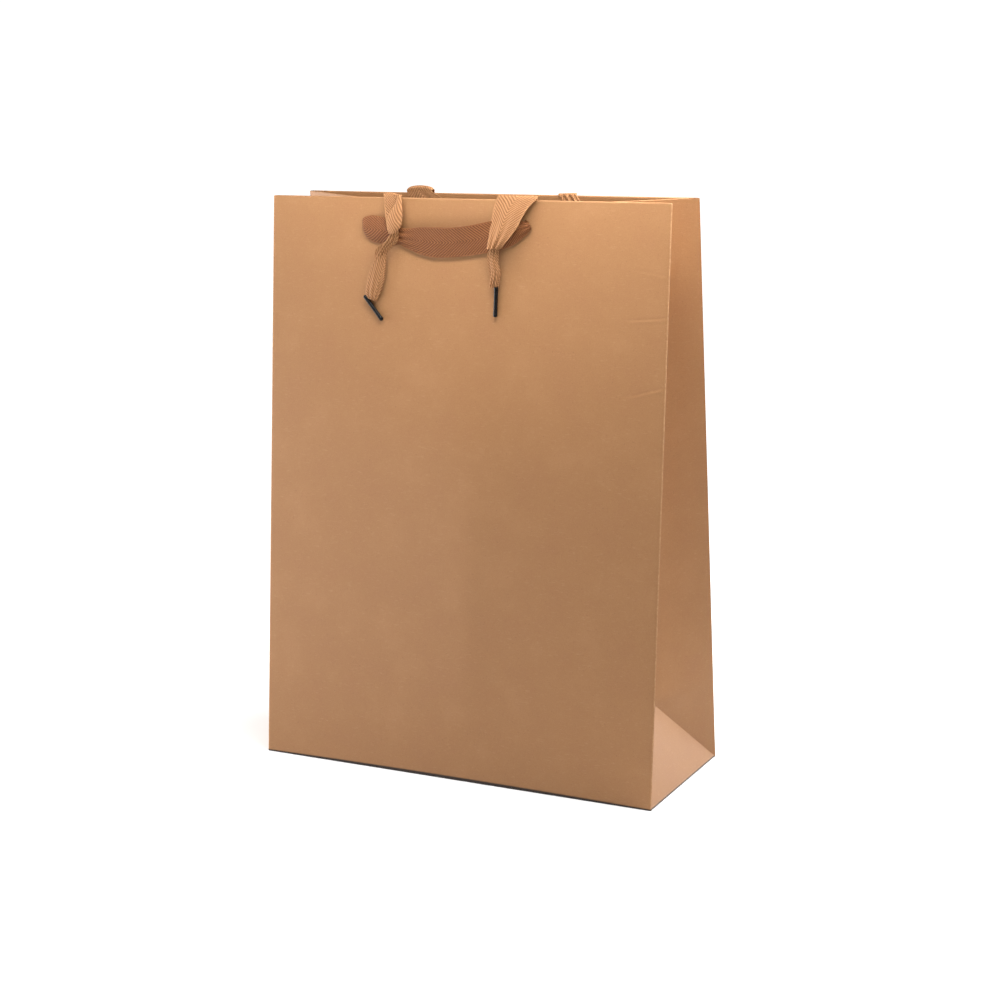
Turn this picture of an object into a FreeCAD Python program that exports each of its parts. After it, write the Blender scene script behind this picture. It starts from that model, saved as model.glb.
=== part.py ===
import FreeCAD, Part
import math
import os

# A paper carrier bag with inward side gussets, half closed, standing on its base.
# Millimetres. Origin: centre of the base on the floor. +X right, -Y front, +Z up.

# Bag
BASE_W = 300.0          # width of the base, left to right
BASE_D = 120.0          # depth of the base, front to back
PANEL_H = 400.0         # height of a wall measured along the paper
RIM_LEAN = 35.73        # how far each rim leans in over the base
PAPER_T = 0.4           # paper thickness
FOLD_GAP = 0.8          # gap left on each side of a slanted crease at the foot
FOLD_IN = 0.25          # a gusset's wall crease turns this far inside the wall's inner face
FOLD_START = 0.5        # a gusset half starts this far from its wall crease
CREASE_GAP = 0.3        # a gusset half's fold aims this far short of the middle of the bag
FLOOR_CLEAR = 0.25      # room between the floor flaps and what turns above them
EDGE_INSET = 0.1        # wall panels stop this far short of the bag's corners
FOOT_LIFT = 0.3         # walls and feet start this far above the floor

# Travel that the folds are cleared for
MOUTH_OPEN = 2.5        # degrees that a wall can lean out from the modelled pose
MOUTH_CLOSE = 2.4       # degrees that a wall can lean in
FOLD_RATIO = 7.5        # gusset fold per degree of wall lean
FOOT_RATIO = 2.0        # gusset foot lean per degree of wall lean

# Turned-in top
HEM_DEPTH = 45.0        # depth of the turn-in below the rim
HEM_SIDE_GAP = 17.0     # turn-in stops short of the side creases
CARD_T = 0.8            # rim card thickness
CARD_INSET = 1.5        # rim card stops this far inside the turn-in

# Floor
FLAP_LAP = 16.0         # front and back floor flaps reach this far past the middle
FLAP_TAPER = 16.0       # and narrow by this much at each end
SIDE_TIP = 2.0          # half width of a side floor flap's tip
BOARD_T = 1.0           # base board thickness
BOARD_END_GAP = 5.0     # room between the base board and the gussets
BOARD_SIDE_GAP = 2.5    # room between the base board and the walls
BOARD_CORNER = 3.0      # base board corner radius

# Seam
SEAM_START = 4.0        # seam flap starts this far from the side crease
SEAM_W = 18.0

# Ribbon and T-bars
RIBBON_T = 0.8          # ribbon thickness
RIBBON_LIFT = 0.1       # gap between the ribbon and what it lies on
HOLE_R = 3.0            # punched hole radius
LEFT_HOLE = (-66.0, 17.0)    # across, below the rim
RIGHT_HOLE = (44.5, 14.5)
RUN_DEPTH = 3.2         # the run stands this far off the wall, because its tape is gathered at the holes
TAIL_TILT = 12.0        # degrees that a tail's upper part stands off the wall, over the run
BACK_SHIFT = 17.0       # the back handle's right tail turns over the rim this much nearer the side
BAR_R = 1.4             # T-bar radius
BAR_END = 0.45          # rounding of the T-bar ends
COLLAR = 0.35           # how far the T-bar's collar stands out
COLLAR_LENGTH = 4.0
BAR_SWING = 15.0        # degrees that a T-bar swings each way on its ribbon's end
BAR_CLEAR = 0.25        # room between a ribbon's end and its T-bar

LEAN = math.asin(RIM_LEAN / PANEL_H)
HALF = PAPER_T / 2.0
KNEE = BASE_D / 2.0                                  # height where the slanted foot creases meet
AXIS_IN = HALF + FOLD_IN                             # gusset crease axis, from the wall's middle plane
REACH = BASE_D / 2.0 - CREASE_GAP - AXIS_IN          # width of a gusset half
OUTSIDE = -HALF - RIBBON_LIFT                        # first ribbon layer, outer face of the wall
INSIDE = HALF + CARD_T + PAPER_T + RIBBON_LIFT       # ribbon layer inside the turn-in
X_AXIS = FreeCAD.Vector(1, 0, 0)
Y_AXIS = FreeCAD.Vector(0, 1, 0)
Z_AXIS = FreeCAD.Vector(0, 0, 1)
ORIGIN = FreeCAD.Vector(0, 0, 0)


def save(shape, name):
    if not shape.isValid():
        raise ValueError(name + " is not valid")
    shape.exportStep(os.path.join("parts", name + ".step"))


def box(x0, x1, y0, y1, z0, z1):
    return Part.makeBox(x1 - x0, y1 - y0, z1 - z0, FreeCAD.Vector(x0, y0, z0))


def plate(outline, y0, y1):
    """A flat plate in a wall's own frame, from (across, up) points, between two depths."""
    points = [FreeCAD.Vector(x, y0, z) for x, z in outline]
    points.append(points[0])
    face = Part.Face(Part.makePolygon(points))
    return face.extrude(FreeCAD.Vector(0, y1 - y0, 0))


def below_rim(points):
    """Turn (across, below the rim) points into (across, up the wall) points."""
    return [(x, PANEL_H - d) for x, d in points]


def on_wall(shape, side):
    """Lean a piece built in the wall's own frame over its bottom crease, front or back."""
    placed = shape.copy()
    placed.rotate(ORIGIN, X_AXIS, -math.degrees(LEAN))
    placed.translate(FreeCAD.Vector(0, -BASE_D / 2.0, 0))
    if side == "back":
        placed.rotate(ORIGIN, Z_AXIS, 180)
    return placed


def hole_pins(radius, y0, y1):
    pins = []
    for x, d in (LEFT_HOLE, RIGHT_HOLE):
        start = FreeCAD.Vector(x, y0, PANEL_H - d)
        pins.append(Part.makeCylinder(radius, y1 - y0, start, Y_AXIS))
    return pins


def punched(shape):
    for pin in hole_pins(HOLE_R, -5.0, 5.0):
        shape = shape.cut(pin)
    return shape


# Walls, rim cards and turn-ins

def wall_panel():
    edge = BASE_W / 2.0 - EDGE_INSET
    return punched(box(-edge, edge, -HALF, HALF, FOOT_LIFT, PANEL_H))


def rim_card():
    edge = BASE_W / 2.0 - HEM_SIDE_GAP - CARD_INSET
    top = PANEL_H - PAPER_T
    return punched(box(-edge, edge, HALF, HALF + CARD_T, PANEL_H - HEM_DEPTH + CARD_INSET, top))


def hem():
    edge = BASE_W / 2.0 - HEM_SIDE_GAP
    inner = HALF + CARD_T
    leaf = box(-edge, edge, inner, inner + PAPER_T, PANEL_H - HEM_DEPTH, PANEL_H)
    turn = box(-edge, edge, HALF, inner + PAPER_T, PANEL_H - PAPER_T, PANEL_H)
    return punched(leaf.fuse(turn).removeSplitter())


def seam_flap():
    left = BASE_W / 2.0 - SEAM_START - SEAM_W
    top = PANEL_H - HEM_DEPTH - 2.0
    return box(left, left + SEAM_W, HALF, HALF + PAPER_T, 3.0, top)


# Gusset halves: strips that twist from nearly square to the wall at the foot to folded flat at the top

def rest_fold(s):
    """Angle between the gusset half and straight across the bag, at height s up the crease."""
    s = max(s, KNEE)
    gap = BASE_D / 2.0 - s * math.sin(LEAN) - (AXIS_IN + CREASE_GAP) * math.cos(LEAN)
    return math.acos(gap / (REACH * math.cos(LEAN)))


def crease_setback(s):
    """How far short of the centre crease the half stops, so that it clears through the travel."""
    worst = 0.5
    steps = 50
    for step in range(steps + 1):
        turn = -MOUTH_OPEN + step * (MOUTH_OPEN + MOUTH_CLOSE) / steps
        lean = LEAN + math.radians(turn)
        fold = rest_fold(s) + math.radians(FOLD_RATIO * turn)
        room = (BASE_D / 2.0 - s * math.sin(lean) - CREASE_GAP) / math.cos(lean) - AXIS_IN
        width = (room - HALF * math.sin(fold)) / math.cos(fold)
        worst = max(worst, REACH - width)
    return worst + 0.2


def gusset_section(s, near, far):
    fold = rest_fold(s)
    up = FreeCAD.Vector(0, math.sin(LEAN), math.cos(LEAN))
    across = FreeCAD.Vector(0, math.cos(LEAN), -math.sin(LEAN))
    corner = FreeCAD.Vector(BASE_W / 2.0, -BASE_D / 2.0, 0) + up * s + across * AXIS_IN
    along = across * math.cos(fold) - X_AXIS * math.sin(fold)
    normal = X_AXIS * math.cos(fold) + across * math.sin(fold)
    points = [
        corner + along * near - normal * HALF,
        corner + along * far - normal * HALF,
        corner + along * far + normal * HALF,
        corner + along * near + normal * HALF,
    ]
    points.append(points[0])
    return Part.makePolygon(points)


def gusset_half():
    """The front half of the right gusset."""
    slant = FOLD_GAP * math.sqrt(2.0)
    low = 3.0
    sections = [gusset_section(low, FOLD_START, low - slant)]
    sections.append(gusset_section(KNEE, FOLD_START, min(KNEE - slant, REACH - crease_setback(KNEE))))
    count = 8
    for i in range(1, count + 1):
        s = KNEE + (PANEL_H - KNEE) * i / count
        sections.append(gusset_section(s, FOLD_START, REACH - crease_setback(s)))
    return Part.makeLoft(sections, True, True)


def gusset_foot():
    """The triangle at the foot of the right gusset, leaning in over its bottom crease."""
    slant = FOLD_GAP * math.sqrt(2.0)
    base = KNEE - FOOT_LIFT - slant
    apex = KNEE - slant
    tip = 0.6
    outline = [(-base, FOOT_LIFT), (base, FOOT_LIFT), (tip, apex - tip), (-tip, apex - tip)]
    foot = plate(outline, -HALF, HALF)
    foot.rotate(ORIGIN, Z_AXIS, 90)
    foot.rotate(ORIGIN, Y_AXIS, -math.degrees(rest_fold(KNEE)))
    foot.translate(FreeCAD.Vector(BASE_W / 2.0, 0, 0))
    return foot


# Floor: back flap outermost, then front flap, then the two side flaps, then the loose board

def floor_room(lean):
    """How far the floor flaps stay inside a crease whose panel leans in this far, in radians."""
    return 3.0 * PAPER_T * math.tan(lean) + HALF / math.cos(lean) + FLOOR_CLEAR


def floor_flap(side):
    edge_x = BASE_W / 2.0 - floor_room(rest_fold(KNEE) + math.radians(FOOT_RATIO * MOUTH_CLOSE))
    edge_y = BASE_D / 2.0 - floor_room(LEAN + math.radians(MOUTH_CLOSE))
    end_x = edge_x - FLAP_TAPER
    if side == "back":
        outline = [(-edge_x, edge_y), (edge_x, edge_y), (end_x, -FLAP_LAP), (-end_x, -FLAP_LAP)]
        z0 = 0.0
    elif side == "front":
        outline = [(-edge_x, -edge_y), (edge_x, -edge_y), (end_x, FLAP_LAP), (-end_x, FLAP_LAP)]
        z0 = PAPER_T
    else:
        tip_x = edge_x - edge_y + SIDE_TIP
        outline = [(edge_x, -edge_y), (edge_x, edge_y), (tip_x, SIDE_TIP), (tip_x, -SIDE_TIP)]
        z0 = 2.0 * PAPER_T
    points = [FreeCAD.Vector(x, y, z0) for x, y in outline]
    points.append(points[0])
    flap = Part.Face(Part.makePolygon(points)).extrude(FreeCAD.Vector(0, 0, PAPER_T))
    if side == "left":
        flap = flap.mirror(ORIGIN, X_AXIS)
    return flap


def base_board():
    z0 = 3.0 * PAPER_T + 0.05
    edge_x = BASE_W / 2.0 - BOARD_END_GAP
    edge_y = BASE_D / 2.0 - BOARD_SIDE_GAP
    board = box(-edge_x, edge_x, -edge_y, edge_y, z0, z0 + BOARD_T)
    upright = [e for e in board.Edges if abs(e.Vertexes[0].Z - e.Vertexes[1].Z) > BOARD_T / 2.0]
    return board.makeFillet(BOARD_CORNER, upright)


# Ribbon: built for the front wall in the wall's own frame

RUN_OUTLINE = [
    (-77.5, 18.0), (-74.0, 13.5), (-62.0, 13.0), (-46.0, 17.5), (-17.0, 18.5), (5.0, 17.0), (20.0, 14.5),
    (38.0, 11.0), (47.0, 11.0), (50.0, 15.5), (47.5, 21.0), (38.0, 28.5), (20.0, 35.0), (0.0, 37.8),
    (-17.0, 38.8), (-30.0, 37.0), (-42.0, 32.5), (-58.0, 31.0), (-71.0, 29.0),
]
LEFT_RISER = [(-69.5, 19.0), (-71.0, 12.0), (-64.0, -0.6), (-46.0, -0.6), (-52.0, 8.0), (-60.0, 14.0), (-62.5, 19.0)]
RIGHT_RISER = [(41.0, 17.0), (38.5, 11.0), (28.0, -0.6), (56.0, -0.6), (52.0, 7.0), (49.0, 13.0), (48.0, 17.0)]
BACK_RIGHT_RISER = [(41.0, 17.0), (38.5, 11.0), (45.0, -0.6), (73.0, -0.6), (69.0, 7.0), (50.0, 13.0), (48.0, 17.0)]
LEFT_TAIL = {
    "rim": (-61.0, -48.0),
    "layers": 2.0,
    "pinch": 24.0,
    "upper": [(-61.0, 1.0), (-48.0, 1.0), (-47.0, 15.0), (-48.3, 23.6), (-57.7, 23.6), (-58.0, 15.0)],
    "lower": [(-57.7, 24.4), (-48.3, 24.4), (-53.0, 38.0), (-60.0, 50.0), (-63.2, 69.0), (-68.4, 74.0),
              (-72.0, 65.0), (-73.0, 50.0), (-64.0, 34.0)],
    "bar": ((-74.2, 67.4), (-60.0, 83.6)),
    "grip": (-67.9, 71.4),
}
RIGHT_TAIL = {
    "rim": (28.0, 56.0),
    "layers": 1.0,
    "pinch": 31.5,
    "upper": [(28.0, 1.0), (56.0, 1.0), (41.7, 15.0), (29.6, 31.1), (18.8, 31.1), (23.0, 15.0)],
    "lower": [(18.8, 31.9), (29.6, 31.9), (28.0, 43.0), (29.0, 66.0), (23.7, 66.0), (21.0, 43.0)],
    "bar": ((27.0, 57.2), (26.8, 77.9)),
    "grip": (27.0, 59.5),
}


def shifted(tail, step):
    """A tail moved sideways."""
    moved = dict(tail)
    moved["rim"] = tuple(x + step for x in tail["rim"])
    for name in ("upper", "lower", "bar"):
        moved[name] = [(x + step, d) for x, d in tail[name]]
    moved["grip"] = (tail["grip"][0] + step, tail["grip"][1])
    return moved


TAILS = {
    "front": ((LEFT_RISER, LEFT_TAIL), (RIGHT_RISER, RIGHT_TAIL)),
    "back": ((LEFT_RISER, LEFT_TAIL), (BACK_RIGHT_RISER, shifted(RIGHT_TAIL, BACK_SHIFT))),
}


def ribbon_run(side):
    """Across the outside, through both holes, up inside the turn-in and over the rim."""
    band = plate(below_rim(RUN_OUTLINE), OUTSIDE - RUN_DEPTH, OUTSIDE)
    for pin in hole_pins(HOLE_R - 0.3, OUTSIDE - RUN_DEPTH, INSIDE + RIBBON_T):
        band = band.fuse(pin)
    for riser, tail in TAILS[side]:
        band = band.fuse(plate(below_rim(riser), INSIDE, INSIDE + RIBBON_T))
        x0, x1 = tail["rim"]
        outer = OUTSIDE - RIBBON_T * 0.5
        top = PANEL_H + RIBBON_LIFT
        band = band.fuse(box(x0, x1, outer, INSIDE + RIBBON_T, top, top + RIBBON_T))
    return band.removeSplitter()


def rim_point():
    """Where a tail turns over the rim: its inner top corner, in the wall's own frame."""
    return FreeCAD.Vector(0, OUTSIDE - RIBBON_T - RIBBON_LIFT, PANEL_H + RIBBON_LIFT + RIBBON_T * 0.8)


def pinch_point(tail):
    """Where the tail bends at its pinch: the outer face of one layer, after the upper part is tilted."""
    point = FreeCAD.Vector(0, rim_point().y - RIBBON_T, PANEL_H - tail["pinch"])
    turn = FreeCAD.Rotation(X_AXIS, -TAIL_TILT)
    return rim_point() + turn.multVec(point - rim_point())


def tail_upper(tail):
    y1 = rim_point().y
    y0 = y1 - RIBBON_T * tail["layers"]
    leaf = plate(below_rim(tail["upper"]), y0, y1)
    x0, x1 = tail["rim"]
    shoulder = box(x0, x1, y0, y1, PANEL_H - 1.5, rim_point().z)
    upper = leaf.fuse(shoulder).removeSplitter()
    upper.rotate(rim_point(), X_AXIS, -TAIL_TILT)
    return upper


def tail_lower(tail):
    """Hangs from the pinch back towards the wall, where its T-bar rests."""
    y1 = rim_point().y
    lower = plate(below_rim(tail["lower"]), y1 - RIBBON_T, y1)
    lower.rotate(rim_point(), X_AXIS, -TAIL_TILT)
    pinch = pinch_point(tail)
    fall = bar_grip(tail) - pinch
    lean_back = math.degrees(math.atan2(fall.y, -fall.z))
    lower.rotate(pinch, X_AXIS, TAIL_TILT + lean_back)
    return lower


def toggle_bar(tail, grow=0.0):
    """A rod with rounded ends, and a collar where the ribbon's end is gripped."""
    (ax, ad), (bx, bd) = tail["bar"]
    y = OUTSIDE - BAR_R - COLLAR
    start = FreeCAD.Vector(ax, y, PANEL_H - ad)
    end = FreeCAD.Vector(bx, y, PANEL_H - bd)
    run = end - start
    length = run.Length
    run.normalize()
    start = start - run * grow
    rod = Part.makeCylinder(BAR_R + grow, length + 2.0 * grow, start, run)
    rims = [e for e in rod.Edges if e.Curve.TypeId == "Part::GeomCircle"]
    rod = rod.makeFillet(BAR_END, rims)
    grip = bar_grip(tail)
    half = COLLAR_LENGTH / 2.0 + grow
    collar = Part.makeCylinder(BAR_R + COLLAR + grow, 2.0 * half, grip - run * half, run)
    return rod.fuse(collar)


def bar_grip(tail):
    """The point on the T-bar's axis where the ribbon's end holds it."""
    (ax, ad), (bx, bd) = tail["bar"]
    gx, gd = tail["grip"]
    y = OUTSIDE - BAR_R - COLLAR
    start = FreeCAD.Vector(ax, y, PANEL_H - ad)
    run = FreeCAD.Vector(bx, y, PANEL_H - bd) - start
    run.normalize()
    return start + run * (FreeCAD.Vector(gx, y, PANEL_H - gd) - start).dot(run)


def clear_of_bar(lower, tail):
    """Cut the ribbon's end back so that the T-bar can swing."""
    steps = 6
    for step in range(steps + 1):
        bar = toggle_bar(tail, BAR_CLEAR)
        bar.rotate(bar_grip(tail), Y_AXIS, -BAR_SWING + 2.0 * BAR_SWING * step / steps)
        lower = lower.cut(bar)
    return max(lower.Solids, key=lambda solid: solid.Volume)


def main():
    os.makedirs("parts", exist_ok=True)

    for side in ("front", "back"):
        save(on_wall(wall_panel(), side), side + "_panel")
        save(on_wall(rim_card(), side), side + "_rim_card")
        save(on_wall(hem(), side), side + "_hem")
        save(on_wall(ribbon_run(side), side), side + "_ribbon_run")
        for hand, (riser, tail) in zip(("left", "right"), TAILS[side]):
            lower = clear_of_bar(tail_lower(tail), tail)
            save(on_wall(tail_upper(tail), side), side + "_" + hand + "_tail_upper")
            save(on_wall(lower, side), side + "_" + hand + "_tail_lower")
            save(on_wall(toggle_bar(tail), side), side + "_" + hand + "_toggle")
    save(on_wall(seam_flap(), "back"), "side_seam_flap")

    half = gusset_half()
    across = half.mirror(ORIGIN, X_AXIS)
    save(half, "right_gusset_front")
    save(across, "left_gusset_front")
    half_back = half.mirror(ORIGIN, Y_AXIS)
    save(half_back, "right_gusset_back")
    save(half_back.mirror(ORIGIN, X_AXIS), "left_gusset_back")

    foot = gusset_foot()
    save(foot, "right_gusset_foot")
    save(foot.mirror(ORIGIN, X_AXIS), "left_gusset_foot")

    for side in ("front", "back", "left", "right"):
        save(floor_flap(side), "bottom_" + side + "_flap")
    save(base_board(), "base_board")


main()
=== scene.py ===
import math
import bmesh
import bpy
import numpy as np
from mathutils import Matrix, Vector


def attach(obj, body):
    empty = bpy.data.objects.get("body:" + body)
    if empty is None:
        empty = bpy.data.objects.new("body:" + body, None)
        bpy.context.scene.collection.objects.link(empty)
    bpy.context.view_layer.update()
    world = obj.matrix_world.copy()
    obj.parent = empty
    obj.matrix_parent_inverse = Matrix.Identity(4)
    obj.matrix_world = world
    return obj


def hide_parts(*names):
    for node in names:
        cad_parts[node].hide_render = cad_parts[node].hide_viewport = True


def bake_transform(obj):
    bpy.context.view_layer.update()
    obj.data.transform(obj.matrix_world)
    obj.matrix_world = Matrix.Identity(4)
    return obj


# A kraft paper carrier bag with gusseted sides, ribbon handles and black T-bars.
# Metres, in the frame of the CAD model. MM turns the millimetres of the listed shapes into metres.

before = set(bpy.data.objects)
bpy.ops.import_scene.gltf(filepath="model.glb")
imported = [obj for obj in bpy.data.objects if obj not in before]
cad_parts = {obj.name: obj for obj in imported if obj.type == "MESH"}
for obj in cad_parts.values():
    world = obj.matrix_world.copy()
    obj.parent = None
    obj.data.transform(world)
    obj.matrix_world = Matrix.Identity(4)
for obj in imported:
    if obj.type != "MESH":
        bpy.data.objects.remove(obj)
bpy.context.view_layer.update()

MM = 0.001

# Bag, as in the CAD model
BASE_W = 300 * MM
BASE_D = 120 * MM
PANEL_H = 400 * MM
RIM_LEAN = 35.73 * MM
PAPER_T = 0.4 * MM
CARD_T = 0.8 * MM
HEM_DEPTH = 45 * MM
HEM_SIDE_GAP = 17 * MM
CREASE_IN = 0.45 * MM       # a gusset's crease line lies this far inside its wall's middle plane
HOLE_R = 3 * MM
LEFT_HOLE = (-66 * MM, 17 * MM)
RIGHT_HOLE = (44.5 * MM, 14.5 * MM)
RIBBON_T = 0.55 * MM
RIBBON_W = 20 * MM
BAR_R = 1.4 * MM

LEAN = math.asin(RIM_LEAN / PANEL_H)
HALF_W = BASE_W / 2
HALF_D = BASE_D / 2
KNEE = HALF_D               # height where the slanted foot creases meet
REACH = 59.25 * MM          # width of a gusset half in the CAD model
UP = np.array([0, math.sin(LEAN), math.cos(LEAN)])
ACROSS = np.array([0, math.cos(LEAN), -math.sin(LEAN)])
SIDEWAYS = np.array([1.0, 0, 0])
CIRCLE = np.linspace(0, 2 * math.pi, 33)[:-1]       # 32 angles round a circle
SHARP_ANGLE = math.radians(50)      # paper and tape shade as creased where they bend more than this
BAR_SHARP_ANGLE = math.radians(60)
SIDES = ("front", "back")
HANDS = ("left", "right")


# Small helpers

def smooth(t):
    t = np.clip(t, 0, 1)
    return t * t * (3 - 2 * t)


def on_wall(points, side):
    """(across, depth, up the paper) in a wall's own frame to the row frame. Depth is negative outside."""
    points = np.asarray(points, float)
    world = points[..., :1] * SIDEWAYS + points[..., 1:2] * ACROSS + points[..., 2:3] * UP
    world = world + np.array([0, -HALF_D, 0])
    if side == "back":
        world = world * np.array([-1, -1, 1])
    return world


def new_object(name, vertices, faces, uvs=None):
    """A mesh object with smooth faces. uvs holds one (u, v) for each vertex, in metres of flat sheet."""
    mesh = bpy.data.meshes.new(name)
    mesh.from_pydata([tuple(v) for v in vertices], [], [tuple(f) for f in faces])
    if uvs is not None:
        layer = mesh.uv_layers.new(name="flat")
        loops = np.zeros(len(mesh.loops), np.int32)
        mesh.loops.foreach_get("vertex_index", loops)
        layer.data.foreach_set("uv", np.asarray(uvs, np.float32)[loops].ravel())
    mesh.validate()
    mesh.shade_smooth()
    obj = bpy.data.objects.new(name, mesh)
    bpy.context.scene.collection.objects.link(obj)
    return obj


def sheet_mesh(name, grid, flat, thickness):
    """A closed sheet of even thickness around a grid of middle-surface points, with flat coordinates."""
    rows, cols = grid.shape[:2]
    along = np.gradient(grid, axis=0)
    over = np.gradient(grid, axis=1)
    normal = np.cross(over, along)
    length = np.linalg.norm(normal, axis=2, keepdims=True)
    normal = normal / np.maximum(length, 1e-12)
    front = (grid + normal * thickness / 2).reshape(-1, 3)
    rear = (grid - normal * thickness / 2).reshape(-1, 3)
    count = rows * cols
    index = np.arange(count).reshape(rows, cols)
    a, b = index[:-1, :-1].ravel(), index[:-1, 1:].ravel()
    c, d = index[1:, 1:].ravel(), index[1:, :-1].ravel()
    faces = np.concatenate([np.stack([a, b, c, d], 1), np.stack([d, c, b, a], 1) + count])
    ring = np.concatenate([index[0, :-1], index[:-1, -1], index[-1, :0:-1], index[:0:-1, 0]])
    after = np.roll(ring, -1)
    rim = np.stack([after, ring, ring + count, after + count], 1)
    faces = np.concatenate([faces, rim])
    uvs = np.concatenate([flat.reshape(-1, 2), flat.reshape(-1, 2)])
    obj = new_object(name, np.concatenate([front, rear]), faces, uvs)
    obj.data.set_sharp_from_angle(angle=SHARP_ANGLE)
    return obj


def spaced(start, end, step):
    """Even positions from start to end, about a step apart."""
    return np.linspace(start, end, max(2, int(round(abs(end - start) / step)) + 1))


def joined(*runs):
    """One rising list of positions from several, without repeats."""
    return np.unique(np.round(np.concatenate(runs), 7))


def bump_at(x, centre, width):
    return np.exp(-((x - centre) / width) ** 2)


# Materials

class Nodes:
    """Short ways to add and link the nodes of a material or a world."""

    def __init__(self, owner, last):
        owner.use_nodes = True
        self.owner = owner
        self.tree = owner.node_tree
        self.shader = self.tree.nodes[last]

    def add(self, kind, **settings):
        node = self.tree.nodes.new(kind)
        for key, value in settings.items():
            setattr(node, key, value)
        return node

    def link(self, source, target):
        self.tree.links.new(source, target)

    def put(self, socket, value):
        if isinstance(value, bpy.types.NodeSocket):
            self.link(value, socket)
        else:
            socket.default_value = value

    def math(self, operation, a, b=0.0):
        node = self.add("ShaderNodeMath", operation=operation)
        self.put(node.inputs[0], a)
        self.put(node.inputs[1], b)
        return node.outputs[0]

    def dot(self, vector, aim):
        node = self.add("ShaderNodeVectorMath", operation="DOT_PRODUCT")
        self.link(vector, node.inputs[0])
        node.inputs[1].default_value = aim
        return node.outputs["Value"]

    def split(self, vector):
        """The x, y and z of a vector."""
        node = self.add("ShaderNodeSeparateXYZ")
        self.link(vector, node.inputs[0])
        return node.outputs["X"], node.outputs["Y"], node.outputs["Z"]

    def coords(self, scale=(1, 1, 1)):
        """Metres in the object's own frame, scaled."""
        source = self.add("ShaderNodeTexCoord")
        mapping = self.add("ShaderNodeMapping")
        self.link(source.outputs["Object"], mapping.inputs["Vector"])
        mapping.inputs["Scale"].default_value = scale
        return mapping.outputs["Vector"]

    def noise(self, vector, scale, detail, roughness, distortion=0.0):
        node = self.add("ShaderNodeTexNoise")
        self.link(vector, node.inputs["Vector"])
        node.inputs["Scale"].default_value = scale
        node.inputs["Detail"].default_value = detail
        node.inputs["Roughness"].default_value = roughness
        node.inputs["Distortion"].default_value = distortion
        return node.outputs["Fac"]

    def ramp(self, value, stops):
        node = self.add("ShaderNodeValToRGB")
        self.link(value, node.inputs["Fac"])
        ramp = node.color_ramp
        while len(ramp.elements) < len(stops):
            ramp.elements.new(0.5)
        for element, (place, colour) in zip(ramp.elements, stops):
            element.position = place
            element.color = (*colour, 1)
        return node.outputs["Color"]

    def mix(self, factor, a, b):
        """Two colours mixed. Sockets 6 and 7 are the node's colour inputs, and output 2 is its colour."""
        node = self.add("ShaderNodeMix", data_type="RGBA")
        self.put(node.inputs[0], factor)
        self.put(node.inputs[6], a)
        self.put(node.inputs[7], b)
        return node.outputs[2]

    def range(self, value, low, high, to_low, to_high, kind="LINEAR"):
        node = self.add("ShaderNodeMapRange", interpolation_type=kind)
        self.link(value, node.inputs["Value"])
        for key, number in (("From Min", low), ("From Max", high), ("To Min", to_low), ("To Max", to_high)):
            node.inputs[key].default_value = number
        return node.outputs["Result"]

    def tint(self, base, mask, none, full, share, colour):
        """The base with a share of a colour mixed in, from none of it to all of the share along the mask."""
        return self.mix(self.range(mask, none, full, 0.0, share), base, (*colour, 1))

    def wave(self, place, spacing, low, high):
        """A sine wave of even spacing between two values."""
        sine = self.math("SINE", self.math("MULTIPLY", place, 2 * math.pi / spacing))
        return self.range(sine, -1, 1, low, high)

    def bump(self, height, strength, distance):
        node = self.add("ShaderNodeBump")
        self.link(height, node.inputs["Height"])
        node.inputs["Strength"].default_value = strength
        node.inputs["Distance"].default_value = distance
        self.link(node.outputs["Normal"], self.shader.inputs["Normal"])


def new_material(name):
    return Nodes(bpy.data.materials.new(name), "Principled BSDF")


KRAFT = (0.284, 0.1385, 0.0550)
KRAFT_DARK = (0.268, 0.1220, 0.0520)
KRAFT_LIGHT = (0.345, 0.1740, 0.0770)
KRAFT_FIBRE = (0.400, 0.2150, 0.1080)
KRAFT_FLECK = (0.160, 0.0680, 0.0300)
# Colour of the painted highlight along the walls' side creases
KRAFT_CREASE_HIGHLIGHT = (0.520, 0.300, 0.150)
# Colour of the painted contact shadow along the foot of the walls
FOOT_SHADOW_COLOUR = (0.022, 0.012, 0.008)

# Noise scales of the paper, in cells per metre
KRAFT_CLOUDS = 34
KRAFT_WEAR = 420
KRAFT_FLECKS = 800
KRAFT_FIBRES = 1300
KRAFT_GRAIN = 1900

CLOUD_CALM = 0.55           # share of even colour laid over the clouds
CREASE_HIGHLIGHT_WIDTH = 0.8 * MM        # width of the painted highlight at a side crease
CREASE_HIGHLIGHT_SHARE = 0.55           # how pale the painted highlight gets
FOOT_SHADOW_HEIGHT = 3.0 * MM        # height of the painted contact shadow along the foot, in the middle
FOOT_SHADOW_DROP = 1.25 * MM  # how much lower the painted shadow reaches at the side creases


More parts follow.
